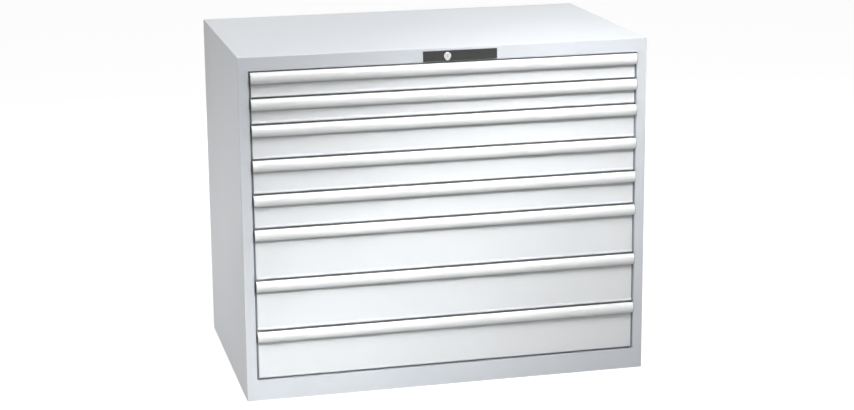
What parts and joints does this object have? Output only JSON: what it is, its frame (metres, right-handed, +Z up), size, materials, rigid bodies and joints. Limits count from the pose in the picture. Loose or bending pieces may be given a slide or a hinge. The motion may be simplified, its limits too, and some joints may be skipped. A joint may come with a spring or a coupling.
{
  "type": "modular drawer cabinet",
  "caption": "Free-standing sheet-steel cabinet with full-extension drawers of three heights behind full-width grip rails, and a central lock in the header",
  "frame": {"origin": "on the floor, under the middle of the whole cabinet's box, grip rails included", "axes": "+X to the right as seen from the front, +Y to the rear, +Z up; the drawers open along -Y"},
  "size_m": [1.193, 0.7404, 1],
  "materials": {
    "casing_paint": "light grey powder coat, semi-gloss, very fine orange peel",
    "front_paint": "off-white powder coat, semi-gloss",
    "drawer_paint": "light grey powder coat on the drawer body",
    "inner_paint": "light grey powder coat inside the casing",
    "grip_aluminium": "extruded, satin anodised",
    "cap_plastic": "moulded, fine matt grain",
    "rail_zinc": "rolled and pressed steel, bright zinc plated",
    "lock_plate": "moulded, dark grey, satin",
    "lock_chrome": "satin nickel-chrome on die-cast zinc"
  },
  "bodies": {
    "casing": {"left_side_panel": "casing_paint", "right_side_panel": "casing_paint", "rear_panel": "casing_paint", "top_cover": "casing_paint", "base_frame": "casing_paint", "upright_columns": "inner_paint", "cabinet_rails": "rail_zinc", "lock_plate": "lock_plate", "lock_cylinder": "lock_chrome"},
    "lock_core": {"lock_core": "lock_chrome"},
    "lock_link": {"lock_link": "rail_zinc"},
    "lock_bar": {"lock_bar": "rail_zinc"},
    "drawer_1": {"drawer_1_tray": "drawer_paint", "drawer_1_front": "front_paint", "drawer_1_grip": "grip_aluminium", "drawer_1_end_caps": "cap_plastic", "drawer_1_rails": "rail_zinc"},
    "drawer_1_carriages": {"drawer_1_carriages": "rail_zinc"},
    "drawer_2": {"drawer_2_tray": "drawer_paint", "drawer_2_front": "front_paint", "drawer_2_grip": "grip_aluminium", "drawer_2_end_caps": "cap_plastic", "drawer_2_rails": "rail_zinc"},
    "drawer_2_carriages": {"drawer_2_carriages": "rail_zinc"},
    "drawer_3": {"drawer_3_tray": "drawer_paint", "drawer_3_front": "front_paint", "drawer_3_grip": "grip_aluminium", "drawer_3_end_caps": "cap_plastic", "drawer_3_rails": "rail_zinc"},
    "drawer_3_carriages": {"drawer_3_carriages": "rail_zinc"},
    "drawer_4": {"drawer_4_tray": "drawer_paint", "drawer_4_front": "front_paint", "drawer_4_grip": "grip_aluminium", "drawer_4_end_caps": "cap_plastic", "drawer_4_rails": "rail_zinc"},
    "drawer_4_carriages": {"drawer_4_carriages": "rail_zinc"},
    "drawer_5": {"drawer_5_tray": "drawer_paint", "drawer_5_front": "front_paint", "drawer_5_grip": "grip_aluminium", "drawer_5_end_caps": "cap_plastic", "drawer_5_rails": "rail_zinc"},
    "drawer_5_carriages": {"drawer_5_carriages": "rail_zinc"},
    "drawer_6": {"drawer_6_tray": "drawer_paint", "drawer_6_front": "front_paint", "drawer_6_grip": "grip_aluminium", "drawer_6_end_caps": "cap_plastic", "drawer_6_rails": "rail_zinc"},
    "drawer_6_carriages": {"drawer_6_carriages": "rail_zinc"},
    "drawer_7": {"drawer_7_tray": "drawer_paint", "drawer_7_front": "front_paint", "drawer_7_grip": "grip_aluminium", "drawer_7_end_caps": "cap_plastic", "drawer_7_rails": "rail_zinc"},
    "drawer_7_carriages": {"drawer_7_carriages": "rail_zinc"},
    "drawer_8": {"drawer_8_tray": "drawer_paint", "drawer_8_front": "front_paint", "drawer_8_grip": "grip_aluminium", "drawer_8_end_caps": "cap_plastic", "drawer_8_rails": "rail_zinc"},
    "drawer_8_carriages": {"drawer_8_carriages": "rail_zinc"}
  },
  "joints": [
    {"name": "drawer_1_slide", "type": "slide", "parent": "casing", "child": "drawer_1", "axis": [0, -1, 0], "range_m": [0, 0.63]},
    {"name": "drawer_1_carriage_slide", "type": "slide", "parent": "casing", "child": "drawer_1_carriages", "axis": [0, -1, 0], "range_m": [0, 0.315]},
    {"name": "drawer_2_slide", "type": "slide", "parent": "casing", "child": "drawer_2", "axis": [0, -1, 0], "range_m": [0, 0.63]},
    {"name": "drawer_2_carriage_slide", "type": "slide", "parent": "casing", "child": "drawer_2_carriages", "axis": [0, -1, 0], "range_m": [0, 0.315]},
    {"name": "drawer_3_slide", "type": "slide", "parent": "casing", "child": "drawer_3", "axis": [0, -1, 0], "range_m": [0, 0.63]},
    {"name": "drawer_3_carriage_slide", "type": "slide", "parent": "casing", "child": "drawer_3_carriages", "axis": [0, -1, 0], "range_m": [0, 0.315]},
    {"name": "drawer_4_slide", "type": "slide", "parent": "casing", "child": "drawer_4", "axis": [0, -1, 0], "range_m": [0, 0.63]},
    {"name": "drawer_4_carriage_slide", "type": "slide", "parent": "casing", "child": "drawer_4_carriages", "axis": [0, -1, 0], "range_m": [0, 0.315]},
    {"name": "drawer_5_slide", "type": "slide", "parent": "casing", "child": "drawer_5", "axis": [0, -1, 0], "range_m": [0, 0.63]},
    {"name": "drawer_5_carriage_slide", "type": "slide", "parent": "casing", "child": "drawer_5_carriages", "axis": [0, -1, 0], "range_m": [0, 0.315]},
    {"name": "drawer_6_slide", "type": "slide", "parent": "casing", "child": "drawer_6", "axis": [0, -1, 0], "range_m": [0, 0.63]},
    {"name": "drawer_6_carriage_slide", "type": "slide", "parent": "casing", "child": "drawer_6_carriages", "axis": [0, -1, 0], "range_m": [0, 0.315]},
    {"name": "drawer_7_slide", "type": "slide", "parent": "casing", "child": "drawer_7", "axis": [0, -1, 0], "range_m": [0, 0.63]},
    {"name": "drawer_7_carriage_slide", "type": "slide", "parent": "casing", "child": "drawer_7_carriages", "axis": [0, -1, 0], "range_m": [0, 0.315]},
    {"name": "drawer_8_slide", "type": "slide", "parent": "casing", "child": "drawer_8", "axis": [0, -1, 0], "range_m": [0, 0.63]},
    {"name": "drawer_8_carriage_slide", "type": "slide", "parent": "casing", "child": "drawer_8_carriages", "axis": [0, -1, 0], "range_m": [0, 0.315]},
    {"name": "lock_turn", "type": "hinge", "parent": "casing", "child": "lock_core", "pos_m": [0, -0.35475, 0.9774], "axis": [0, -1, 0], "range_deg": [0, 90.5]},
    {"name": "link_slide", "type": "slide", "parent": "casing", "child": "lock_link", "axis": [-1, 0, 0], "range_m": [0, 0.00905]},
    {"name": "bar_slide", "type": "slide", "parent": "casing", "child": "lock_bar", "axis": [0, 0, -1], "range_m": [0, 0.009]}
  ],
  "couplings": [
    {"joint": "drawer_1_carriage_slide", "follows": "drawer_1_slide", "ratio": 0.5},
    {"joint": "drawer_2_carriage_slide", "follows": "drawer_2_slide", "ratio": 0.5},
    {"joint": "drawer_3_carriage_slide", "follows": "drawer_3_slide", "ratio": 0.5},
    {"joint": "drawer_4_carriage_slide", "follows": "drawer_4_slide", "ratio": 0.5},
    {"joint": "drawer_5_carriage_slide", "follows": "drawer_5_slide", "ratio": 0.5},
    {"joint": "drawer_6_carriage_slide", "follows": "drawer_6_slide", "ratio": 0.5},
    {"joint": "drawer_7_carriage_slide", "follows": "drawer_7_slide", "ratio": 0.5},
    {"joint": "drawer_8_carriage_slide", "follows": "drawer_8_slide", "ratio": 0.5},
    {"joint": "link_slide", "follows": "bar_slide", "ratio": 1},
    {"joint": "lock_turn", "follows": "bar_slide", "rad_per_m": 174.53}
  ]
}
